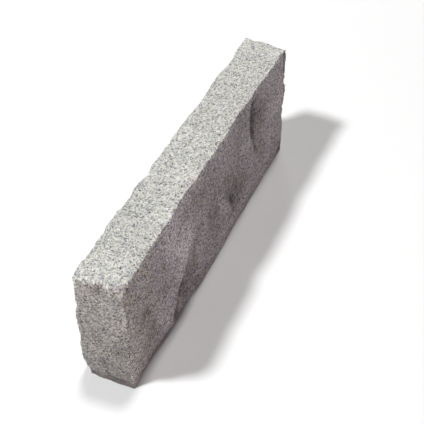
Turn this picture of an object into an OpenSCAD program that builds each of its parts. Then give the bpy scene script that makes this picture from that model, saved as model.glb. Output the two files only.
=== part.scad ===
// Rough-hewn granite kerb stone: one split block that stands on its bed.
// X runs along the stone, -Y is its road face, +Y is its back and Z is up. All sizes are in millimetres.

/* [Block] */
// Length from end to end
length = 800; // [400:5:1500]
// Width across the top, before its arrises are worn
width = 104; // [70:1:200]
// Height from the bed to the top
height = 320; // [180:5:450]
// How far the road face is hollowed at the middle of its top arris
bow = 6; // [0:0.5:15]
// How far the back swells out below its top arris
belly = 11; // [0:1:25]
// How much further the near end reaches at the back than at the road face
skew = 10; // [0:1:25]

/* [Bed] */
// Width of the strip broken off along the back of the bed
toe_width = 14; // [4:1:25]
// Height of the strip broken off along the back of the bed
toe_height = 55; // [10:1:90]

/* [Hewing] */
// Swell and hollow of a split face, either side of its mean plane
split_relief = 6; // [0:0.5:10]
// Unevenness of the dressed top, either side of its plane
top_relief = 1; // [0:0.1:4]
// Largest drop of a step that the split left in the road face or the back
step_drop = 9; // [0:0.5:15]
// Depth of the scallops that were knocked out of the road face
scallop_depth = 8; // [0:0.5:12]

/* [Arrises] */
// Width of the worn band along each arris
arris_band = 6; // [3:0.5:10]
// Depth that wear takes off a level arris
arris_wear = 1.6; // [0.5:0.1:4]
// Depth that wear takes off an upright arris at an end
corner_wear = 4; // [1:0.5:8]
// Depth of the deepest chip in an arris
chip_depth = 4; // [0:0.5:10]
// Spacing of the chances that an arris has to be chipped
chip_length = 45; // [20:1:90]

/* [Facets] */
// Facets along the stone, between its worn bands
cells_long = 64; // [20:1:68]
// Facets up the stone, between its worn bands
cells_high = 26; // [10:1:28]
// Facets across the stone, between its worn bands
cells_wide = 8; // [4:1:9]

/* [Hidden] */

// Random numbers from 0 to 1, the seed that this block is known by, and the strides that spread
// them through space so that no face repeats itself.
table_size = 1009;
strides = [113, 443, 137];
seed = 63;
table = rands(0, 1, table_size, seed);
// Angles by which the relief is turned away from the block's own directions.
tilt_up = 37;
tilt_round = 22;

// Length of the long swells of a split face, and the lengths of the hollows that meet in ridges on
// them, with the share that each has in the relief.
swell_length = 190;
swell_share = 0.7;
hollow_lengths = [85, 38];
hollow_shares = [0.25, 0.1];
// Height of those ridges and depth of the slopes between them, which leave a hollow no deeper on the
// whole than its ridges are high.
ridge = 0.8;
slope = 3.2;

// Steps where the split jumped, each as
// [share of the length, share of the height, lean in degrees, half its run in mm, share of step_drop].
road_steps = [
    [0.25, 0.2, 15, 85, 1],
    [0.31, 0.4, 60, 50, 0.25],
    [0.44, 0.5, -30, 60, 0.3],
    [0.585, 0.34, -18, 85, 0.7],
    [0.73, 0.75, -4, 85, 0.8],
    [0.77, 0.42, -28, 70, 0.35]
];
back_steps = [
    [0.33, 0.6, -12, 120, 0.8],
    [0.7, 0.35, 25, 90, 0.9]
];
// A step swells out up to its crest, drops steeply, and comes back slowly.
rise_length = 110;
fall_length = 26;
return_length = 90;
crest_share = 0.4;
// How far the line of a crest wanders, and the length of its waves.
crest_sway = 10;
sway_length = 60;
// How soon a step or a chip grows to its whole depth from either end of its run.
end_growth = 1.4;

// Scallops in the road face, each as
// [share of the length, share of the height, half its length, half its height, share of scallop_depth].
// A share below 0 is a swell that stands out of the face.
road_scallops = [
    [0, 0, 70, 60, -0.6],
    [0, 0.32, 60, 90, 0.5],
    [0.1, 0.5, 50, 50, 0.4],
    [0.18, 0.3, 60, 70, -0.4],
    [0.27, 0.62, 100, 90, -0.6],
    [0.36, 0.6, 50, 60, -0.6],
    [0.64, 0.25, 60, 50, 0.4],
    [1, 0.75, 80, 160, -0.8]
];

// Chance chips: how steeply they deepen, how rare they are, and their share of chip_depth on an
// upright arris.
chip_growth = 3;
chip_rarity = 1.4;
upright_share = 0.2;
// Share of corner_wear that is left at the far end, and share of all wear that is left at the bed.
far_share = 0.4;
bed_share = 0.4;
// Chips in the two long arrises of the top, each as
// [side of the block, share of the length, half its length, share of chip_depth].
top_chips = [
    [-1, 0.15, 24, 0.6],
    [-1, 0.32, 28, 1],
    [-1, 0.62, 24, 0.7],
    [-1, 0.79, 22, 0.6],
    [-1, 0.93, 20, 0.5],
    [1, 0.08, 28, 0.5],
    [1, 0.26, 26, 0.5],
    [1, 0.36, 20, 0.8],
    [1, 0.66, 40, 0.5],
    [1, 0.86, 24, 0.7]
];
// Chips in the two short arrises of the top, each as
// [end of the block, share of the width, half its length, share of chip_depth].
end_chips = [
    [-1, 0.02, 20, 0.7],
    [-1, 0.34, 14, 0.7],
    [-1, 0.7, 14, 0.5],
    [1, 0.02, 12, 0.4],
    [1, 0.26, 14, 0.8],
    [1, 0.76, 14, 0.4]
];

// A face moves the faces next to it as far in as this.
reach = width / 2;
// The waves of the top are this much finer than those of the split faces.
top_fineness = 2;
// How far along a level arris the wear of a corner runs.
corner_run = 25;
// The two long arrises of the top are dressed to a line: the share of the relief that is left there,
// and the depth below the top at which it has grown to the whole.
line_share = 0.45;
line_depth = 90;
// How far in a chip runs for each millimetre of its depth.
chip_run = 2.4;
// Share of the skew that is left at the bed.
bed_skew = 0.4;
// Share of the height over which the back swells out.
belly_share = 0.6;
// Shifts that give the ends and the chips waves of their own.
end_shift = [0, 0, 500];
chip_shift = [7, 300, 900];

function clamp(t) = min(1, max(0, t));
function ease(t) = let (u = clamp(t)) u * u * (3 - 2 * u);
function mix(a, b, t) = a + (b - a) * t;

function tilted(p) =
    let (
        x = p.x * cos(tilt_up) - p.z * sin(tilt_up),
        z = p.x * sin(tilt_up) + p.z * cos(tilt_up)
    )
    [x * cos(tilt_round) - p.y * sin(tilt_round), x * sin(tilt_round) + p.y * cos(tilt_round), z];

// Smooth random waves from -1 to 1 through space, on a lattice with knots one cell apart.
function knot(n) = table[n % table_size];
function layer(n, u, v) =
    let (m = n + strides.y)
    mix(mix(knot(n), knot(n + strides.x), u), mix(knot(m), knot(m + strides.x), u), v);
function waves(p, cell) =
    let (
        q = tilted(p) / cell + [1, 1, 1] * table_size,
        corner = [for (c = q) floor(c)],
        n = corner * strides,
        t = [for (c = q - corner) ease(c)]
    )
    2 * mix(layer(n, t.x, t.y), layer(n + strides.z, t.x, t.y), t.z) - 1;

function total(list) = list * [for (v = list) 1];
function hollows(p, cell) = ridge - slope * abs(waves(p, cell));
function relief(p, depth) =
    depth * (swell_share * waves(p, swell_length)
        + total([for (n = [0:len(hollow_lengths) - 1]) hollow_shares[n] * hollows(p, hollow_lengths[n])]));

// Growth of a step or a chip along its run, from 0 at -1 to the whole and back to 0 at 1.
function growth(t) = ease(end_growth * (1 - abs(t)));
// Section of a step at a distance t past its crest.
function step_section(t) =
    t < 0 ? crest_share * ease(1 + t / rise_length)
    : t < fall_length ? crest_share - ease(t / fall_length)
    : (crest_share - 1) * ease(1 - (t - fall_length) / return_length);

function steps(list, p) =
    let (sway = crest_sway * waves(p, sway_length))
    step_drop * total([for (s = list)
        let (
            u = p.x - (s[0] - 0.5) * length,
            v = p.z - s[1] * height,
            past = u * cos(s[2]) - v * sin(s[2]) + sway,
            run = u * sin(s[2]) + v * cos(s[2])
        )
        s[4] * step_section(past) * growth(run / s[3])]);

function scallops(list, p) =
    scallop_depth * total([for (s = list)
        let (
            u = (p.x - (s[0] - 0.5) * length) / s[2],
            v = (p.z - s[1] * height) / s[3]
        )
        s[4] * ease(1 - norm([u, v]))]);

// Distances from a point to the nearer end, side and level face of the plain block.
function gaps(p) = [length / 2 - abs(p.x), width / 2 - abs(p.y), min(p.z, height - p.z)];
// Direction of that face along its axis, and the point moved onto it.
function outward(p, axis) = (axis < 2 ? p[axis] : p.z - height / 2) < 0 ? -1 : 1;
function snapped(p, axis) = [for (n = [0:2]) n == axis ? p[n] + outward(p, axis) * gaps(p)[n] : p[n]];

// What wear and chips take off the arris at p, and off its faces at a distance from it.
function chance_chip(p) = ease(chip_growth * waves(p + chip_shift, chip_length) - chip_rarity);
function placed_chip(p) =
    p.z < height ? 0
    : max([
        0,
        for (chip = top_chips) if (gaps(p).y == 0 && chip[0] == sign(p.y))
            chip[3] * growth((p.x - (chip[1] - 0.5) * length) / chip[2]),
        for (chip = end_chips) if (gaps(p).x == 0 && chip[0] == sign(p.x))
            chip[3] * growth((p.y - (chip[1] - 0.5) * width) / chip[2])
    ]);
function arris_loss(p) =
    let (level = gaps(p).z > 0 ? 0 : ease(max(gaps(p)) / corner_run))
    (p.z > 0 ? 1 : bed_share) * mix(corner_wear * (p.x < 0 ? 1 : far_share), arris_wear, level)
    + chip_depth * max(chance_chip(p) * mix(upright_share, 1, level), placed_chip(p));
function worn(p, distance) =
    let (loss = arris_loss(p))
    loss * (1 - ease(distance / (arris_band + chip_run * loss)));

function wear(p, axis) =
    max([0, for (other = [0:2]) if (other != axis && gaps(p)[other] < reach)
        worn(snapped(p, other), gaps(p)[other])]);

// How far out of its plain plane each face lies at p: the ends, the road face, the back and the top.
// The bed is flat, apart from its worn arrises.
function end_swell(p) =
    (p.x < 0 ? skew * mix(bed_skew, 1, p.z / height) * p.y / width : 0)
    + relief(p + end_shift, split_relief);
function split_depth(p) = split_relief * mix(line_share, 1, ease((height - p.z) / line_depth));
function road_swell(p) =
    relief(p, split_depth(p)) + steps(road_steps, p) - scallops(road_scallops, p)
    - bow * (p.z / height) * (1 - pow(2 * p.x / length, 2));
function toe(z) = toe_width * pow(clamp(1 - z / toe_height), 2);
function back_swell(p) =
    relief(p, split_depth(p)) + steps(back_steps, p) - toe(p.z)
    + belly * ease((1 - p.z / height) / belly_share);
function top_swell(p) = relief(top_fineness * p, top_relief);
function swell(p, axis) =
    (axis == 0 ? end_swell(p)
    : axis == 1 ? (p.y < 0 ? road_swell(p) : back_swell(p))
    : p.z > 0 ? top_swell(p) : 0)
    - wear(p, axis);

// The point of the hewn block for a point on the plain one. Each face moves its own points, and less and
// less those of the faces next to it, so that they meet along the arrises.
function hewn(p) = p + [for (axis = [0:2])
    let (gap = gaps(p)[axis])
    gap < reach ? outward(p, axis) * (1 - ease(gap / reach)) * swell(snapped(p, axis), axis) : 0];

// Places of the grid lines along one axis, with one line along each worn band.
function stations(from, to, cells) = [
    from,
    for (n = [0:cells]) mix(from + arris_band, to - arris_band, n / cells),
    to
];
along = stations(-length / 2, length / 2, cells_long);
across = stations(-width / 2, width / 2, cells_wide);
up = stations(0, height, cells_high);

// The six sides of the plain block, each as a grid of points in columns. Turned ones run clockwise.
sides = [
    [for (x = along) [for (z = up) [x, -width / 2, z]]],
    [for (x = along) [for (z = up) [x, width / 2, z]]],
    [for (x = along) [for (y = across) [x, y, 0]]],
    [for (x = along) [for (y = across) [x, y, height]]],
    [for (y = across) [for (z = up) [-length / 2, y, z]]],
    [for (y = across) [for (z = up) [length / 2, y, z]]]
];
turned = [false, true, true, false, true, false];
function first_point(n) = n == 0 ? 0 : first_point(n - 1) + len(sides[n - 1]) * len(sides[n - 1][0]);

// Two triangles for each cell, split along alternate diagonals.
function cell_faces(quad, even) =
    even ? [[quad[0], quad[1], quad[2]], [quad[0], quad[2], quad[3]]]
    : [[quad[1], quad[2], quad[3]], [quad[1], quad[3], quad[0]]];
function side_faces(n) =
    let (columns = len(sides[n]), rows = len(sides[n][0]), first = first_point(n))
    [for (i = [0:columns - 2]) for (j = [0:rows - 2])
        let (
            p = first + i * rows + j,
            q = p + rows,
            quad = turned[n] ? [p, q, q + 1, p + 1] : [p, p + 1, q + 1, q]
        )
        each cell_faces(quad, (i + j) % 2 == 0)];

module kerb_stone() {
    points = [for (side = sides) each [for (column = side) each [for (p = column) hewn(p)]]];
    faces = [for (n = [0:len(sides) - 1]) each side_faces(n)];
    xs = [for (p = points) p.x];
    ys = [for (p = points) p.y];
    color("lightgray")
        translate([-(min(xs) + max(xs)) / 2, -(min(ys) + max(ys)) / 2, 0])
            polyhedron(points, faces);
}

kerb_stone();
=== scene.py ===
import math

import bmesh
import bpy
from mathutils import Matrix, Vector


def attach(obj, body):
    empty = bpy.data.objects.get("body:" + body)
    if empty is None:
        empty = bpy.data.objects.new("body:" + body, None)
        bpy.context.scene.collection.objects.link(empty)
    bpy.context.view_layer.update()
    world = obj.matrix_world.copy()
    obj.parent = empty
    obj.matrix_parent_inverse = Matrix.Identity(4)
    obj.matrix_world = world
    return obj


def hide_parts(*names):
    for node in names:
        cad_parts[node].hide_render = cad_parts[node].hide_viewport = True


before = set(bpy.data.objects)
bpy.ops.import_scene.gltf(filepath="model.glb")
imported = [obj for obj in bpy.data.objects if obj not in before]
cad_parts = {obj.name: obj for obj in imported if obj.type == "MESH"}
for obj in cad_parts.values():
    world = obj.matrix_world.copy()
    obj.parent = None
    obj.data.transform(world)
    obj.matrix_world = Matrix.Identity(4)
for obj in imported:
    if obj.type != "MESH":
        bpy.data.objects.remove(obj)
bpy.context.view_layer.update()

# A rough-hewn granite kerb stone that stands on its bed. Metres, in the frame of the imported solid:
# X runs along the stone from its near end to its far end, -Y is its road face, +Y is its back and
# Z is up.
SOLID = "kerb_stone"

# Camera of the photograph. Angles in degrees, lens and sensor in millimetres. At azimuth 0 it would
# look along +Y.
CAMERA_PLACE = (-1.13533, -0.56184, 1.47191)
CAMERA_AZIMUTH = -65.675
CAMERA_DOWN = 46.957
CAMERA_ROLL = 0.204
CAMERA_LENS = 70.0
CAMERA_SENSOR = 36.0

# Mesh of the stone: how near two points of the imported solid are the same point, how often its quads
# are divided, and from which angle, in radians, an edge counts as an arris and stays crisp.
SAME_POINT = 1e-6
SUBDIVISIONS = 2
ARRIS_ANGLE = math.radians(38)
ARRIS_CREASE = 0.6

# Hewn relief. A size is the spacing of a feature, and a depth is its reach either way. A facet has a
# tilt and a level of its own, a ridge a fold and a crest, and a crystal a stand and a crown, as
# shares of the depth.
FACET_SIZE = 0.034
FACET_DEPTH = 0.0005
FACET_TILT = 2.4
FACET_LEVEL = (0.4, 0.3, 0.3)
RIDGE_SIZE = 0.019
RIDGE_DEPTH = 0.0003
RIDGE_FOLD = 6.0
RIDGE_CREST = 0.5
CRYSTAL_SIZE = 0.0075
CRYSTAL_DEPTH = 0.00027
CRYSTAL_STAND = (1.2, 0.8, 0.0)
CRYSTAL_CROWN = 0.5
# Share of the facets and ridges that the dressed top keeps, and of the crystals' relief that an end
# loses.
DRESSED_SHARE = 0.35
END_SMOOTHNESS = 0.5

# Spalls are flakes that left the arrises: how far from an arris they reach, the band of their noise
# in which they set in, and how many times as deep they get over the stretch of X at the far end.
ARRIS_REACH = 0.012
SPALL_SIZE = 0.016
SPALL_DEPTH = 0.0029
SPALL_BAND = (0.49, 0.68)
FAR_SPALLS = 2.2
FAR_END = (0.34, 0.39)

# The relief's seed, and what each kind of feature adds to it.
RELIEF_SEED = 4.0
RIDGE_SEED = 11.0
CRYSTAL_SEED = 23.0
SPALL_SEED = 37.0

# By how many steps the surface is evened out to tell its hollows, and by how many these are softened.
HOLLOW_SPREAD = 24
HOLLOW_SOFTNESS = 2
# Millimetres in a metre. The depths that the material follows are in millimetres.
MILLIMETRES = 1000.0

# How much a face has to be turned to a side to count as facing it, from not at all to fully.
TOWARDS = (0.5, 0.8)
AWAY = (-0.5, -0.8)
UPWARDS = (0.55, 0.85)
DOWNWARDS = (-0.6, -0.9)
# How ragged the border between the dressed top and the split faces is.
BORDER_RAGGEDNESS = 0.7

# Scars that the blows left in the road face: where each starts and ends, as X and Z, how far it
# reaches to either side, its depth, and how much painted shade darkens the stone in it. A swell has
# values below zero: it stands out, and painted light makes it lighter.
ROAD_SCARS = [
    ((-0.220, 0.270), (-0.155, 0.205), 0.070, -0.0020, -0.34),
    ((-0.160, 0.205), (-0.190, 0.140), 0.050, -0.0015, -0.26),
    ((-0.270, 0.120), (-0.245, 0.040), 0.060, -0.0010, -0.20),
    ((-0.150, 0.130), (-0.180, 0.090), 0.016, 0.0016, 0.25),
    ((-0.178, 0.090), (-0.170, 0.080), 0.025, 0.0030, 0.50),
    ((-0.188, 0.070), (-0.210, 0.028), 0.022, 0.0028, 0.42),
    ((-0.208, 0.028), (-0.200, 0.002), 0.020, 0.0016, 0.35),
    ((-0.170, 0.050), (-0.090, 0.020), 0.055, 0.0014, 0.18),
    ((-0.330, 0.172), (-0.316, 0.160), 0.018, 0.0016, 0.28),
    ((-0.362, 0.186), (-0.358, 0.180), 0.009, 0.0010, 0.30),
    ((-0.310, 0.115), (-0.300, 0.095), 0.020, 0.0008, 0.15),
    ((-0.385, 0.110), (-0.355, 0.030), 0.060, 0.0, -0.18),
    ((0.390, 0.012), (0.402, 0.004), 0.030, 0.0030, 0.60),
    ((-0.105, 0.290), (-0.095, 0.270), 0.018, 0.0012, 0.25),
    ((-0.030, 0.160), (0.000, 0.140), 0.026, 0.0012, 0.18),
    ((0.010, 0.175), (0.032, 0.110), 0.022, -0.0014, -0.20),
    ((0.054, 0.155), (0.086, 0.100), 0.017, 0.0018, 0.32),
    ((0.090, 0.098), (0.100, 0.080), 0.022, 0.0028, 0.50),
    ((0.070, 0.060), (0.090, 0.050), 0.018, 0.0014, 0.28),
    ((0.080, 0.130), (0.150, 0.080), 0.062, 0.0010, 0.16),
    ((0.206, 0.278), (0.213, 0.205), 0.028, 0.0016, 0.56),
    ((0.205, 0.284), (0.232, 0.286), 0.018, 0.0014, 0.30),
    ((0.213, 0.205), (0.222, 0.150), 0.014, 0.0010, 0.48),
    ((0.222, 0.150), (0.240, 0.125), 0.012, 0.0010, 0.36),
    ((0.140, 0.290), (0.250, 0.240), 0.080, 0.0008, 0.20),
    ((0.335, 0.225), (0.300, 0.110), 0.075, -0.0012, -0.20),
    ((0.278, 0.110), (0.282, 0.070), 0.010, 0.0010, 0.22),
    ((0.388, 0.315), (0.391, 0.262), 0.013, 0.0030, 0.60),
    ((0.391, 0.262), (0.398, 0.110), 0.009, 0.0018, 0.40),
]
# Scars of the near end, with their painted shade, where the places are Y and Z.
END_SCARS = [
    ((-0.018, 0.016), (-0.036, 0.012), 0.016, 0.0026, 0.55),
    ((0.008, 0.078), (-0.003, 0.026), 0.009, 0.0014, 0.30),
    ((0.034, 0.008), (0.028, 0.000), 0.014, 0.0020, 0.50),
    ((0.006, 0.012), (-0.004, 0.004), 0.012, 0.0016, 0.35),
    ((-0.010, 0.308), (-0.004, 0.296), 0.012, 0.0022, 0.40),
    ((0.032, 0.306), (0.030, 0.300), 0.009, 0.0014, 0.25),
    ((0.030, 0.205), (0.028, 0.200), 0.008, 0.0006, 0.22),
    ((-0.024, 0.120), (-0.028, 0.105), 0.012, 0.0008, 0.18),
]
# How far the outlines of the scars are shaken.
SCAR_WARP = 0.016

# How far the road face swells beyond the solid towards the far end, at the top and at the foot, and
# how far the back does at the near end, with the stretches of X, Y and Z over which each sets in.
TOP_SWELL = 0.003
FOOT_SWELL = 0.008
BACK_SWELL = 0.0022
ROAD_SWELL_ALONG = (-0.33, -0.05)
BACK_SWELL_ALONG = (-0.05, -0.33)
ROAD_SIDE = (0.0, -0.04)
BACK_SIDE = (0.0, 0.04)
SWELL_HEIGHT = (0.0, 0.3)
# How far the road face may stand out from the middle of the stone.
ROAD_LIMIT = -0.0645

# Minerals of the granite, as colours in linear light, each with the share of crystals from which it
# sets in.
MINERALS = [
    (0.00, (0.740, 0.745, 0.710)),
    (0.24, (0.640, 0.625, 0.560)),
    (0.42, (0.520, 0.540, 0.530)),
    (0.58, (0.370, 0.390, 0.410)),
    (0.74, (0.220, 0.240, 0.265)),
    (0.84, (0.520, 0.470, 0.375)),
    (0.92, (0.100, 0.104, 0.112)),
]
MINERAL_SIZE = 0.0026
MINERAL_TONES = (0.84, 1.16)
# How far the outlines of the crystals are shaken, and at which spacing.
SHAKE_SIZE = 0.004
SHAKE_REACH = 0.004
# An end shows its crystals a little less.
MEAN_MINERAL = (0.52, 0.52, 0.50)
END_EVENNESS = 0.12
# A dressed face is bruised whiter and evener. A split one is darker and shows its crystals more.
DRESSED_GAIN = 0.72
SPLIT_GAIN = 0.54
SPLIT_CONTRAST = 1.25

# Tints of the split faces: two that drift over them in small patches, then one each of a swell, of a
# hollow, of the stone's near part and of an end.
TINT_SIZE = 0.008
TINT_BAND = (0.38, 0.62)
COOL_TINT = (0.955, 0.955, 1.015)
WARM_TINT = (1.075, 0.995, 0.94)
SWELL_TINT = (1.0, 0.965, 1.035)
HOLLOW_TINT = (1.02, 0.955, 0.985)
HOLLOW_TINT_DEPTH = (-1.5, 1.5)
NEAR_TINT = (1.02, 0.982, 0.978)
NEAR_TINT_ALONG = (-0.26, -0.33)
END_TINT = (1.01, 0.985, 0.965)
END_TINT_SHARE = 0.7
# How many millimetres of depth a full share of painted scar shade counts for.
PAINTED_SHADING_DEPTH = 4.0

# Mica lies in small dark flakes that keep together in loose swarms.
MICA = (0.07, 0.072, 0.078)
FLAKE_SIZE = 0.0017
SWARM_SIZE = 0.016
SWARM_BAND = (0.42, 0.62)
SWARM_LIMIT = (0.97, 0.80)
FLAKE_SHARE = (0.45, 0.8)

# The blows of the dressing bruised the crystals of the top, which turned them whiter.
BRUISED = (0.49, 0.486, 0.452)
BRUISE_SIZE = 0.006
BRUISE_BAND = (0.4, 0.65)
BRUISE_SHARE = 0.45

# Broad clouds of tone over the whole stone.
CLOUD_SIZE = 0.10
CLOUD_BAND = (0.35, 0.65)
CLOUD_TONES = (0.93, 1.05)

# Painted shade in the pits of the relief: a dark colour, blended in by their depth in millimetres.
PAINTED_DARK_TONE = (0.14, 0.12, 0.115)
PIT_DEPTH = (0.0, 2.0)
PIT_PAINTED_SHADE = 0.3
# Painted light on a ridge and painted shade in a hollow: how much lighter or darker the split is
# there than its mean, by its depth in millimetres, and the share of this that a dressed face shows.
HOLLOW_DEPTH = (-2.5, 2.5)
PAINTED_RELIEF_SHADING = (1.14, 0.82)
DRESSED_HOLLOWS = 0.3
# Small dark blotches of painted shade in the hollows, and the darkest that painted shade may make the
# stone.
BLOTCH = 0.38
BLOTCH_SIZE = 0.013
BLOTCH_BAND = (0.54, 0.70)
BLOTCH_DEPTH = (-0.5, 1.6)
DARKEST = 0.25

# Painted light and shade of an end: how light it is painted at its foot and at its top, and between
# which heights it changes.
END_PAINTED_TONES = (0.93, 1.22)
END_HEIGHTS = (0.02, 0.27)
# The stone is painted darker towards its foot: the share of the dark colour, the height, how uneven
# it is, and how much of it the long faces have.
FOOT_DARKENING = 0.75
FOOT_HEIGHT = 0.032
FOOT_SIZE = 0.018
FOOT_UNEVENNESS = 0.09
LONG_FACE_DARKENING = 0.35
# The arrises are rubbed lighter in places, less so where the stone is dressed.
RUBBED = 0.4
RUBBED_SIZE = 0.012
RUBBED_BAND = (0.4, 0.6)
DRESSED_RUBBING = 0.35

# Cleavage faces of the crystals are smoother than what lies between them.
CLEAVAGE_BAND = (0.7, 1.0)
ROUGHNESS = (0.92, 0.62)
SPECULAR = 0.35
# Bump of the crystals, which are too small for the mesh: fine grain, a step from each crystal to the
# next, and a dome on each.
GRAIN_SIZE = 0.0016
BUMP_STRENGTH = 0.7
BUMP_DISTANCE = 0.0011
BUMP_STEP = 0.8
BUMP_DOME = -0.5

# Key light: a round lamp that is far enough away to cast a soft-edged shadow of the stone.
KEY_PLACE = (-1.20, 1.09, 3.16)
KEY_RADIUS = 0.19
KEY_STRENGTH = 40.5
KEY_COLOUR = (0.99, 1.0, 0.995)
# A lamp that keeps the ground white beyond the far end, where the key light gets weaker.
WASH_PLACE = (3.0, 1.5, 1.1)
WASH_RADIUS = 0.4
WASH_POWER = 74.0
WASH_COLOUR = (1.0, 1.0, 1.0)
# Distant lights: one from above, and one that comes in low onto the near end and the road face. A
# width is an angle in radians.
BACK_DIRECTION = (-0.19, -0.02, -1.0)
BACK_STRENGTH = 0.565
BACK_COLOUR = (1.0, 0.975, 0.952)
BACK_WIDTH = 0.12
FILL_DIRECTION = (0.66, 0.72, -0.03)
FILL_STRENGTH = 0.645
FILL_COLOUR = (1.0, 0.84, 0.89)
FILL_WIDTH = 0.5
# Soft light of the surroundings, which is a little stronger near the horizon.
SKY = (0.045, 0.041, 0.042)
HORIZON = (0.06, 0.055, 0.056)
HORIZON_BAND = (0.06, 0.2)
# Colour of the floor, and half its side.
FLOOR = (0.65, 0.654, 0.659)
FLOOR_HALF = 60.0

# The whole range of a share, the mean of a noise and of a random colour, and the detail of a noise.
WHOLE = (0.0, 1.0)
NOISE_MEAN = 0.5
COLOUR_MEAN = (0.5, 0.5, 0.5)
PLAIN = 2.0
ROUGH = 3.0
GRAINY = 4.0


class Tree:
    """Shorthand for a node tree: each call adds a node, links its inputs and returns an output."""

    def __init__(self, tree):
        self.tree = tree

    def node(self, kind, **settings):
        made = self.tree.nodes.new(kind)
        for name, value in settings.items():
            setattr(made, name, value)
        return made

    def plug(self, socket, value):
        """Links an output to the socket, or sets the socket to a plain value."""
        if isinstance(value, bpy.types.NodeSocket):
            self.tree.links.new(value, socket)
        elif value is not None:
            socket.default_value = value

    def math(self, operation, a, b=None, c=None, clamp=False):
        made = self.node("ShaderNodeMath", operation=operation, use_clamp=clamp)
        for socket, value in zip(made.inputs, (a, b, c)):
            self.plug(socket, value)
        return made.outputs[0]

    def add(self, a, b):
        return self.math("ADD", a, b)

    def subtract(self, a, b):
        return self.math("SUBTRACT", a, b)

    def times(self, a, b):
        return self.math("MULTIPLY", a, b)

    def vector(self, operation, a, b=None, scale=None):
        made = self.node("ShaderNodeVectorMath", operation=operation)
        self.plug(made.inputs[0], a)
        self.plug(made.inputs[1], b)
        if scale is not None:
            self.plug(made.inputs["Scale"], scale)
        return made.outputs["Value" if operation in ("DOT_PRODUCT", "LENGTH") else "Vector"]

    def scaled(self, a, factor):
        return self.vector("SCALE", a, scale=factor)

    def parts(self, a):
        """The X, Y and Z of a vector."""
        made = self.node("ShaderNodeSeparateXYZ")
        self.plug(made.inputs[0], a)
        return made.outputs

    def remap(self, value, band, result=WHOLE):
        """A smooth step from the first to the second result, while the value crosses the band."""
        made = self.node("ShaderNodeMapRange", interpolation_type="SMOOTHSTEP")
        names = ("Value", "From Min", "From Max", "To Min", "To Max")
        for name, put in zip(names, (value, *band, *result)):
            self.plug(made.inputs[name], put)
        return made.outputs["Result"]

    def texture(self, kind, dimensions, place, size, seed):
        """A texture with features of the given spacing, and with a fourth coordinate for a seed."""
        made = self.node(kind, **{dimensions: "3D" if seed is None else "4D"})
        self.plug(made.inputs["Vector"], place)
        if seed is not None:
            self.plug(made.inputs["W"], seed)
        scale = 1 / size if isinstance(size, float) else self.math("DIVIDE", 1.0, size)
        self.plug(made.inputs["Scale"], scale)
        return made

    def noise(self, place, size, detail, seed=None, output="Fac"):
        made = self.texture("ShaderNodeTexNoise", "noise_dimensions", place, size, seed)
        made.inputs["Detail"].default_value = detail
        return made.outputs[output]

    def cells(self, place, size, seed=None):
        """The outputs of a texture of random cells: their distance, colour and position."""
        made = self.texture("ShaderNodeTexVoronoi", "voronoi_dimensions", place, size, seed)
        made.feature = "F1"
        return made.outputs

    def off_centre(self, colour):
        """A random colour, moved to lie around zero."""
        return self.vector("SUBTRACT", colour, COLOUR_MEAN)

    def shaken(self, place, size, detail, reach):
        """The place, moved by a noise of its own in each direction."""
        shake = self.off_centre(self.noise(place, size, detail, output="Color"))
        return self.vector("ADD", place, self.scaled(shake, reach))

    def blend(self, factor, a, b):
        made = self.node("ShaderNodeMix", data_type="RGBA", blend_type="MIX")
        self.plug(made.inputs["Factor"], factor)
        for socket, value in zip([s for s in made.inputs if s.type == "RGBA"], (a, b)):
            self.plug(socket, (*value, 1.0) if isinstance(value, tuple) else value)
        return [s for s in made.outputs if s.type == "RGBA"][0]


def photo_camera():
    """The camera of the photograph, from its place and its three angles."""
    azimuth, down, roll = (math.radians(a) for a in (CAMERA_AZIMUTH, CAMERA_DOWN, CAMERA_ROLL))
    ahead = Vector((
        -math.sin(azimuth) * math.cos(down),
        math.cos(azimuth) * math.cos(down),
        -math.sin(down),
    ))
    right = ahead.cross(Vector((0, 0, 1))).normalized()
    up = right.cross(ahead)
    across = math.cos(roll) * right + math.sin(roll) * up
    upwards = math.cos(roll) * up - math.sin(roll) * right
    turn = Matrix((across, upwards, -ahead)).transposed().to_4x4()
    camera = bpy.data.cameras.new("photo_camera")
    camera.lens = CAMERA_LENS
    camera.sensor_width = CAMERA_SENSOR
    holder = bpy.data.objects.new("photo_camera", camera)
    holder.matrix_world = Matrix.Translation(CAMERA_PLACE) @ turn
    bpy.context.scene.collection.objects.link(holder)
    bpy.context.scene.camera = holder


def quad_cage():
    """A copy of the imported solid's mesh, its doubles merged and its pairs of triangles joined."""
    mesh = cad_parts[SOLID].data.copy()
    mesh.transform(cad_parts[SOLID].matrix_world)
    shape = bmesh.new()
    shape.from_mesh(mesh)
    bmesh.ops.remove_doubles(shape, verts=shape.verts, dist=SAME_POINT)
    bmesh.ops.join_triangles(
        shape, faces=shape.faces, angle_face_threshold=math.pi, angle_shape_threshold=math.pi,
        topology_influence=0.0,
    )
    for face in shape.faces:
        face.smooth = True
    shape.to_mesh(mesh)
    shape.free()
    mesh.materials.clear()
    return mesh


# Named inputs of the relief tree.
RELIEF_INPUTS = {
    "Subdivisions": SUBDIVISIONS,
    "Facet Size": FACET_SIZE,
    "Facet Depth": FACET_DEPTH,
    "Ridge Size": RIDGE_SIZE,
    "Ridge Depth": RIDGE_DEPTH,
    "Crystal Size": CRYSTAL_SIZE,
    "Crystal Depth": CRYSTAL_DEPTH,
    "Arris Angle": ARRIS_ANGLE,
    "Arris Crease": ARRIS_CREASE,
    "Arris Reach": ARRIS_REACH,
    "Spall Size": SPALL_SIZE,
    "Spall Depth": SPALL_DEPTH,
    "Far Spalls": FAR_SPALLS,
    "Dressed Share": DRESSED_SHARE,
    "Hollow Spread": HOLLOW_SPREAD,
    "Hollow Softness": HOLLOW_SOFTNESS,
    "Scar Warp": SCAR_WARP,
    "Top Swell": TOP_SWELL,
    "Foot Swell": FOOT_SWELL,
    "Back Swell": BACK_SWELL,
    "Seed": RELIEF_SEED,
}


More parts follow.
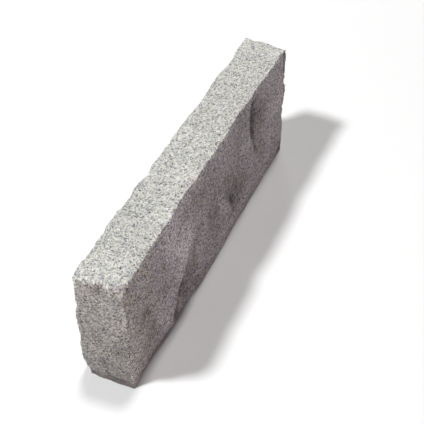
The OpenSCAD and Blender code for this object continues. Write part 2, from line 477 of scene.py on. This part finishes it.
def empty_relief_group():
    """A Geometry Nodes group with the named inputs and nothing in it."""
    group = bpy.data.node_groups.new("hewn_relief", "GeometryNodeTree")
    group.interface.new_socket("Geometry", in_out="INPUT", socket_type="NodeSocketGeometry")
    for name, value in RELIEF_INPUTS.items():
        kind = "NodeSocketInt" if isinstance(value, int) else "NodeSocketFloat"
        group.interface.new_socket(name, in_out="INPUT", socket_type=kind)
    group.interface.new_socket("Granite", in_out="INPUT", socket_type="NodeSocketMaterial")
    group.interface.new_socket("Geometry", in_out="OUTPUT", socket_type="NodeSocketGeometry")
    return group


def stored(t, shape, name, value):
    """The shape with a value kept at each point under a name."""
    keep = t.node("GeometryNodeStoreNamedAttribute", data_type="FLOAT", domain="POINT")
    t.plug(keep.inputs["Geometry"], shape)
    keep.inputs["Name"].default_value = name
    t.plug(keep.inputs["Value"], value)
    return keep.outputs["Geometry"]


def nearness_to_arris(t, given, is_arris):
    """1 on the arrises of the cage, falling to 0 at their reach."""
    arrises = t.node("GeometryNodeSeparateGeometry", domain="EDGE")
    t.plug(arrises.inputs["Geometry"], given["Geometry"])
    t.plug(arrises.inputs["Selection"], is_arris)
    nearest = t.node("GeometryNodeProximity", target_element="EDGES")
    t.plug(nearest.inputs[0], arrises.outputs["Selection"])
    return t.remap(nearest.outputs["Distance"], (0.0, given["Arris Reach"]), (1.0, 0.0))


def blurred(t, value, kind, socket_type, steps):
    """A value evened out over the steps around each point."""
    blur = t.node("GeometryNodeBlurAttribute", data_type=kind)
    t.plug([i for i in blur.inputs if i.name == "Value" and i.type == socket_type][0], value)
    t.plug(blur.inputs["Iterations"], steps)
    return [o for o in blur.outputs if o.type == socket_type][0]


def hollow_depth(t, given, place, normal):
    """How far each point of the cage lies behind its evened-out surroundings, in millimetres."""
    even = blurred(t, place, "FLOAT_VECTOR", "VECTOR", given["Hollow Spread"])
    behind = t.vector("DOT_PRODUCT", t.vector("SUBTRACT", even, place), normal)
    return blurred(t, t.times(behind, MILLIMETRES), "FLOAT", "VALUE", given["Hollow Softness"])


def scar_field(t, given, place, scars, axis):
    """How deep the scars are, and how dark their painted shade makes them, at each point of a face
    that runs along X or along Y.
    """
    shaken = t.shaken(place, given["Facet Size"], ROUGH, given["Scar Warp"])
    flat = t.vector("MULTIPLY", shaken, (axis.x, axis.y, 1.0))
    deep, dark = 0.0, 0.0
    for start, end, reach, depth, painted_scar_shading in scars:
        first = axis * start[0] + Vector((0.0, 0.0, start[1]))
        line = axis * end[0] + Vector((0.0, 0.0, end[1])) - first
        away = t.vector("SUBTRACT", flat, tuple(first))
        along = t.vector("DOT_PRODUCT", away, tuple(line / line.length_squared))
        on_line = t.scaled(tuple(line), t.math("ADD", along, 0.0, clamp=True))
        distance = t.vector("LENGTH", t.vector("SUBTRACT", away, on_line))
        share = t.remap(distance, (0.0, reach), (1.0, 0.0))
        deep = t.math("MULTIPLY_ADD", share, depth, deep)
        dark = t.math("MULTIPLY_ADD", share, painted_scar_shading, dark)
    return deep, dark


def scars_of_both_faces(t, given, place, facing):
    """Depth and painted shade of the scars of the road face and of the near end together."""
    roadward = t.remap(facing["Y"], AWAY)
    nearward = t.remap(facing["X"], AWAY)
    road = scar_field(t, given, place, ROAD_SCARS, Vector((1.0, 0.0, 0.0)))
    end = scar_field(t, given, place, END_SCARS, Vector((0.0, 1.0, 0.0)))
    return [
        t.math("MULTIPLY_ADD", at_end, nearward, t.times(at_road, roadward))
        for at_road, at_end in zip(road, end)
    ]


def facets(t, given, place):
    """Each cell of the rock is broken off along a plane of its own."""
    facet = t.cells(place, given["Facet Size"], given["Seed"])
    lean = t.off_centre(facet["Color"])
    across = t.vector("SUBTRACT", place, facet["Position"])
    tilt = t.math("DIVIDE", t.vector("DOT_PRODUCT", across, lean), given["Facet Size"])
    level = t.vector("DOT_PRODUCT", lean, FACET_LEVEL)
    return t.times(t.add(t.times(tilt, FACET_TILT), level), given["Facet Depth"])


def ridges(t, given, place):
    """Ridges, and hollows between them."""
    wave = t.noise(place, given["Ridge Size"], ROUGH, t.add(given["Seed"], RIDGE_SEED))
    fold = t.math("ABSOLUTE", t.subtract(wave, NOISE_MEAN))
    return t.times(t.subtract(RIDGE_CREST, t.times(fold, RIDGE_FOLD)), given["Ridge Depth"])


def crystals(t, given, place, endward):
    """Each crystal stands a little prouder or lower than the next."""
    crystal = t.cells(place, given["Crystal Size"], t.add(given["Seed"], CRYSTAL_SEED))
    stand = t.vector("DOT_PRODUCT", t.off_centre(crystal["Color"]), CRYSTAL_STAND)
    dome = t.subtract(CRYSTAL_CROWN, crystal["Distance"])
    rise = t.times(t.add(stand, dome), given["Crystal Depth"])
    return t.times(rise, t.subtract(1.0, t.times(endward, END_SMOOTHNESS)))


def spalls(t, given, place, at_arris):
    """Flakes that left the arrises, which are deeper at the far end."""
    wave = t.noise(place, given["Spall Size"], PLAIN, t.add(given["Seed"], SPALL_SEED))
    depth = t.times(t.times(t.remap(wave, SPALL_BAND), at_arris), given["Spall Depth"])
    return t.times(depth, t.remap(t.parts(place)["X"], FAR_END, (1.0, given["Far Spalls"])))


def swell(t, given, place):
    """How far the long faces swell along Y: the road face towards its far end, and most at the foot,
    and the back towards the near end."""
    along = t.parts(place)
    road = t.remap(along["Z"], SWELL_HEIGHT, (given["Foot Swell"], given["Top Swell"]))
    road = t.times(road, t.remap(along["X"], ROAD_SWELL_ALONG))
    road = t.times(road, t.remap(along["Y"], ROAD_SIDE))
    back = t.times(given["Back Swell"], t.remap(along["X"], BACK_SWELL_ALONG))
    back = t.times(back, t.remap(along["Y"], BACK_SIDE))
    return t.subtract(back, road)


def moved_place(t, given, place, normal, rise):
    """Where each point goes, which is never below the ground or past the road face's limit."""
    moved = t.parts(t.vector("ADD", place, t.scaled(normal, rise)))
    swollen = t.add(moved["Y"], swell(t, given, place))
    grounded = t.node("ShaderNodeCombineXYZ")
    t.plug(grounded.inputs["X"], moved["X"])
    t.plug(grounded.inputs["Y"], t.math("MAXIMUM", swollen, ROAD_LIMIT))
    t.plug(grounded.inputs["Z"], t.math("MAXIMUM", moved["Z"], 0.0))
    return grounded.outputs[0]


def relief_tree():
    """Geometry Nodes that refine the cage and hew its facets, ridges, crystals, spalls and scars."""
    group = empty_relief_group()
    t = Tree(group)
    given = t.node("NodeGroupInput").outputs
    place = t.node("GeometryNodeInputPosition").outputs[0]
    normal = t.node("GeometryNodeInputNormal").outputs["Normal"]
    edge_angle = t.node("GeometryNodeInputMeshEdgeAngle").outputs["Unsigned Angle"]
    is_arris = t.math("GREATER_THAN", edge_angle, given["Arris Angle"])
    at_arris = nearness_to_arris(t, given, is_arris)

    smooth = t.node("GeometryNodeSubdivisionSurface")
    hollow = hollow_depth(t, given, place, normal)
    t.plug(smooth.inputs["Mesh"], stored(t, given["Geometry"], "hollow", hollow))
    t.plug(smooth.inputs["Level"], given["Subdivisions"])
    t.plug(smooth.inputs["Edge Crease"], t.times(is_arris, given["Arris Crease"]))

    # The dressed top faces up, the bed down, the road face to -Y, and the ends to either side of X.
    facing = t.parts(normal)
    wave = t.subtract(t.noise(place, given["Crystal Size"], PLAIN), NOISE_MEAN)
    dressed = t.remap(t.add(facing["Z"], t.times(wave, BORDER_RAGGEDNESS)), UPWARDS)
    bedded = t.remap(facing["Z"], DOWNWARDS)
    endward = t.remap(t.math("ABSOLUTE", facing["X"]), TOWARDS)

    # The fine relief first, then the scars. The bed stays as flat as it is.
    share = t.subtract(1.0, t.times(dressed, t.subtract(1.0, given["Dressed Share"])))
    broad = t.times(t.add(facets(t, given, place), ridges(t, given, place)), share)
    fine = t.add(broad, crystals(t, given, place, endward))
    fine = t.subtract(fine, spalls(t, given, place, at_arris))
    # The scars' depth, and the painted shade and painted light that they get in the colour.
    scars, painted_scar_shading = scars_of_both_faces(t, given, place, facing)
    rise = t.times(t.subtract(fine, scars), t.subtract(1.0, bedded))

    # What the granite's material follows, with the painted shade and light of the scars.
    kept = {
        "dressed": dressed,
        "pit": t.times(fine, -MILLIMETRES),
        "arris": at_arris,
        "end_face": endward,
        "painted_scar_shading": painted_scar_shading,
    }
    shape = smooth.outputs["Mesh"]
    for name, value in kept.items():
        shape = stored(t, shape, name, value)
    set_place = t.node("GeometryNodeSetPosition")
    t.plug(set_place.inputs["Geometry"], shape)
    t.plug(set_place.inputs["Position"], moved_place(t, given, place, normal, rise))
    real = t.node("GeometryNodeRealizeInstances")
    t.plug(real.inputs["Geometry"], set_place.outputs["Geometry"])
    clad = t.node("GeometryNodeSetMaterial")
    t.plug(clad.inputs["Geometry"], real.outputs["Geometry"])
    t.plug(clad.inputs["Material"], given["Granite"])
    t.plug(t.node("NodeGroupOutput").inputs["Geometry"], clad.outputs["Geometry"])
    return group


def hewn_stone(granite):
    """The stone: the cage with its relief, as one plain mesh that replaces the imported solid."""
    cage = bpy.data.objects.new("cage", quad_cage())
    bpy.context.scene.collection.objects.link(cage)
    group = relief_tree()
    relief = cage.modifiers.new("relief", "NODES")
    relief.node_group = group
    values = {**RELIEF_INPUTS, "Granite": granite}
    for item in group.interface.items_tree:
        if item.in_out == "INPUT" and item.name in values:
            relief[item.identifier] = values[item.name]
    cage.update_tag()
    graph = bpy.context.evaluated_depsgraph_get()
    mesh = bpy.data.meshes.new_from_object(
        cage.evaluated_get(graph), preserve_all_data_layers=True, depsgraph=graph,
    )
    mesh.name = "hewn_stone"
    cage.modifiers.clear()
    bpy.data.objects.remove(cage)
    print("stone:", len(mesh.vertices), "points,", len(mesh.polygons), "faces")
    stone = bpy.data.objects.new("hewn_stone", mesh)
    bpy.context.scene.collection.objects.link(stone)
    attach(stone, "root")
    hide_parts(SOLID)


def blank_material(name):
    """A new material with its node shorthand and its main shader."""
    material = bpy.data.materials.new(name)
    material.use_nodes = True
    tree = material.node_tree
    return material, Tree(tree), tree.nodes["Principled BSDF"]


def separate_colour(t, colour):
    """The three random numbers that a cell's colour holds."""
    made = t.node("ShaderNodeSeparateColor")
    t.plug(made.inputs[0], colour)
    return made.outputs


def mineral_colours(t, kind, seen):
    """The colours of the crystals, each of one mineral and of a tone of its own."""
    ramp = t.node("ShaderNodeValToRGB")
    ramp.color_ramp.interpolation = "CONSTANT"
    stops = ramp.color_ramp.elements
    stops[0].color = (*MINERALS[0][1], 1.0)
    stops.remove(stops[1])
    for share, colour in MINERALS[1:]:
        stops.new(share).color = (*colour, 1.0)
    t.plug(ramp.inputs[0], kind["Red"])
    colour = t.scaled(ramp.outputs["Color"], t.remap(kind["Green"], WHOLE, MINERAL_TONES))
    return t.blend(t.times(seen["end_face"], END_EVENNESS), colour, MEAN_MINERAL)


def split_colours(t, place, minerals, seen, sunk):
    """The colours of a split face, with its tints."""
    contrast = t.node("ShaderNodeGamma")
    t.plug(contrast.inputs["Color"], minerals)
    contrast.inputs["Gamma"].default_value = SPLIT_CONTRAST
    drift = t.remap(t.noise(place, TINT_SIZE, ROUGH), TINT_BAND)
    deep_tint = t.blend(t.remap(sunk, HOLLOW_TINT_DEPTH), SWELL_TINT, HOLLOW_TINT)
    deep_tint = t.blend(t.remap(t.parts(place)["X"], NEAR_TINT_ALONG), deep_tint, NEAR_TINT)
    tint = t.vector("MULTIPLY", t.blend(drift, COOL_TINT, WARM_TINT), deep_tint)
    tint = t.blend(t.times(seen["end_face"], END_TINT_SHARE), tint, END_TINT)
    return t.vector("MULTIPLY", t.scaled(contrast.outputs[0], SPLIT_GAIN), tint)


def with_mica(t, place, ragged, colour, seen):
    """The colour with flakes of mica, which show less where the stone is split."""
    kind = separate_colour(t, t.cells(ragged, FLAKE_SIZE)["Color"])
    limit = t.remap(t.noise(place, SWARM_SIZE, PLAIN), SWARM_BAND, SWARM_LIMIT)
    share = t.remap(seen["dressed"], WHOLE, FLAKE_SHARE)
    return t.blend(t.times(t.math("GREATER_THAN", kind["Blue"], limit), share), colour, MICA)


def with_hollows(t, place, colour, seen, sunk):
    """The colour with bruises and clouds, and with painted light and shade: shade in the pits,
    hollows, blotches and scars, and light on the ridges and swells.
    """
    bruises = t.remap(t.noise(place, BRUISE_SIZE, ROUGH), BRUISE_BAND, (0.0, BRUISE_SHARE))
    colour = t.blend(t.times(seen["dressed"], bruises), colour, BRUISED)
    colour = t.scaled(colour, t.remap(t.noise(place, CLOUD_SIZE, ROUGH), CLOUD_BAND, CLOUD_TONES))
    # Painted shade: the pits of the relief are blended towards a dark colour by their depth.
    colour = t.blend(t.times(t.remap(seen["pit"], PIT_DEPTH), PIT_PAINTED_SHADE), colour, PAINTED_DARK_TONE)
    # Painted light on the ridges and painted shade in the hollows, less of it on the dressed top.
    tone = t.subtract(t.remap(seen["hollow"], HOLLOW_DEPTH, PAINTED_RELIEF_SHADING), 1.0)
    tone = t.times(tone, t.remap(seen["dressed"], WHOLE, (1.0, DRESSED_HOLLOWS)))
    colour = t.scaled(colour, t.add(tone, 1.0))
    # Painted shade: dark blotches in the hollows.
    blotch = t.remap(t.noise(place, BLOTCH_SIZE, PLAIN), BLOTCH_BAND)
    blotch = t.times(blotch, t.remap(sunk, BLOTCH_DEPTH))
    # The painted shade of the blotches and scars darkens the colour, and painted light lightens the
    # swells.
    dark = t.math("MULTIPLY_ADD", blotch, BLOTCH, seen["painted_scar_shading"])
    return t.scaled(colour, t.math("MAXIMUM", t.subtract(1.0, dark), DARKEST))


def with_wear(t, place, colour, seen):
    """The colour with painted light and shade on the ends, lighter at the top and darker at the foot,
    the stone painted darker at its foot, and rubbed arrises.
    """
    height = t.parts(place)["Z"]
    # Painted light and shade: an end is lighter at its top and darker at its foot.
    end_painted_shading = t.subtract(t.remap(height, END_HEIGHTS, END_PAINTED_TONES), 1.0)
    colour = t.scaled(colour, t.add(t.times(end_painted_shading, seen["end_face"]), 1.0))
    # The stone is painted darker towards its foot, the ends most.
    uneven = t.times(t.subtract(t.noise(place, FOOT_SIZE, ROUGH), NOISE_MEAN), FOOT_UNEVENNESS)
    foot = t.remap(t.add(height, uneven), (0.0, FOOT_HEIGHT), (FOOT_DARKENING, 0.0))
    foot = t.times(foot, t.remap(seen["end_face"], WHOLE, (LONG_FACE_DARKENING, 1.0)))
    colour = t.blend(foot, colour, PAINTED_DARK_TONE)
    rubbed = t.remap(t.noise(place, RUBBED_SIZE, PLAIN), RUBBED_BAND, (0.0, RUBBED))
    rubbed = t.times(seen["arris"], rubbed)
    rubbed = t.times(rubbed, t.remap(seen["dressed"], WHOLE, (1.0, DRESSED_RUBBING)))
    return t.scaled(colour, t.add(rubbed, 1.0))


def granite_material():
    """Light grey granite of feldspar, quartz and mica, which is whiter where it is dressed."""
    material, t, shader = blank_material("split_granite")
    place = t.node("ShaderNodeTexCoord").outputs["Object"]
    seen = {
        name: t.node("ShaderNodeAttribute", attribute_name=name).outputs["Fac"]
        for name in ("dressed", "hollow", "arris", "end_face", "painted_scar_shading", "pit")
    }
    # How sunk each point is: its hollow, with the painted scar shade counted as depth.
    sunk = t.add(seen["hollow"], t.times(seen["painted_scar_shading"], PAINTED_SHADING_DEPTH))

    # Crystals have ragged outlines, so the place that they are looked up at is shaken a little.
    ragged = t.shaken(place, SHAKE_SIZE, PLAIN, SHAKE_REACH)
    crystal = t.cells(ragged, MINERAL_SIZE)
    kind = separate_colour(t, crystal["Color"])
    minerals = mineral_colours(t, kind, seen)
    split = split_colours(t, place, minerals, seen, sunk)
    colour = t.blend(seen["dressed"], split, t.scaled(minerals, DRESSED_GAIN))
    colour = with_mica(t, place, ragged, colour, seen)
    colour = with_hollows(t, place, colour, seen, sunk)
    colour = with_wear(t, place, colour, seen)
    t.plug(shader.inputs["Base Color"], colour)
    t.plug(shader.inputs["Roughness"], t.remap(kind["Blue"], CLEAVAGE_BAND, ROUGHNESS))
    shader.inputs["Specular IOR Level"].default_value = SPECULAR

    step = t.add(t.times(kind["Green"], BUMP_STEP), t.times(crystal["Distance"], BUMP_DOME))
    bump = t.node("ShaderNodeBump")
    bump.inputs["Strength"].default_value = BUMP_STRENGTH
    bump.inputs["Distance"].default_value = BUMP_DISTANCE
    t.plug(bump.inputs["Height"], t.add(step, t.noise(place, GRAIN_SIZE, GRAINY)))
    t.plug(shader.inputs["Normal"], bump.outputs["Normal"])
    return material


def pale_floor():
    """A plain pale floor, which isn't part of the stone."""
    material, _, shader = blank_material("pale_floor")
    shader.inputs["Base Color"].default_value = (*FLOOR, 1.0)
    shader.inputs["Roughness"].default_value = 1.0
    shader.inputs["Specular IOR Level"].default_value = 0.0
    mesh = bpy.data.meshes.new("floor")
    half = FLOOR_HALF
    corners = [(-half, -half, 0.0), (half, -half, 0.0), (half, half, 0.0), (-half, half, 0.0)]
    mesh.from_pydata(corners, [], [(0, 1, 2, 3)])
    mesh.materials.append(material)
    floor = bpy.data.objects.new("floor", mesh)
    bpy.context.scene.collection.objects.link(floor)


def round_lamp(name, place, radius, power, colour):
    """A round lamp at a place."""
    lamp = bpy.data.lights.new(name, "POINT")
    lamp.energy = power
    lamp.color = colour
    lamp.shadow_soft_size = radius
    holder = bpy.data.objects.new(name, lamp)
    holder.location = place
    bpy.context.scene.collection.objects.link(holder)
    return lamp


def distant_light(name, direction, strength, colour, width):
    """A distant light that a white floor under it would show at the strength."""
    sun = bpy.data.lights.new(name, "SUN")
    sun.energy = strength * math.pi
    sun.color = colour
    sun.angle = width
    holder = bpy.data.objects.new(name, sun)
    holder.rotation_mode = "QUATERNION"
    holder.rotation_quaternion = Vector(direction).to_track_quat("-Z", "Y")
    bpy.context.scene.collection.objects.link(holder)


def studio_light():
    """Key, wash, back and fill lights and a soft sky. The key gets no weaker with distance: a falloff
    node sets its strength, and its own power stays at one."""
    key = round_lamp("key", KEY_PLACE, KEY_RADIUS, 1.0, KEY_COLOUR)
    key.use_nodes = True
    t = Tree(key.node_tree)
    even = t.node("ShaderNodeLightFalloff")
    even.inputs["Strength"].default_value = KEY_STRENGTH
    t.plug(key.node_tree.nodes["Emission"].inputs["Strength"], even.outputs["Constant"])
    round_lamp("wash", WASH_PLACE, WASH_RADIUS, WASH_POWER, WASH_COLOUR)
    distant_light("back", BACK_DIRECTION, BACK_STRENGTH, BACK_COLOUR, BACK_WIDTH)
    distant_light("fill", FILL_DIRECTION, FILL_STRENGTH, FILL_COLOUR, FILL_WIDTH)

    world = bpy.data.worlds.new("studio")
    bpy.context.scene.world = world
    world.use_nodes = True
    t = Tree(world.node_tree)
    height = t.parts(t.node("ShaderNodeTexCoord").outputs["Generated"])["Z"]
    sky = t.blend(t.remap(height, HORIZON_BAND), HORIZON, SKY)
    t.plug(world.node_tree.nodes["Background"].inputs["Color"], sky)
    bpy.context.scene.view_settings.view_transform = "Standard"
    bpy.context.scene.view_settings.look = "None"


photo_camera()
studio_light()
pale_floor()
hewn_stone(granite_material())
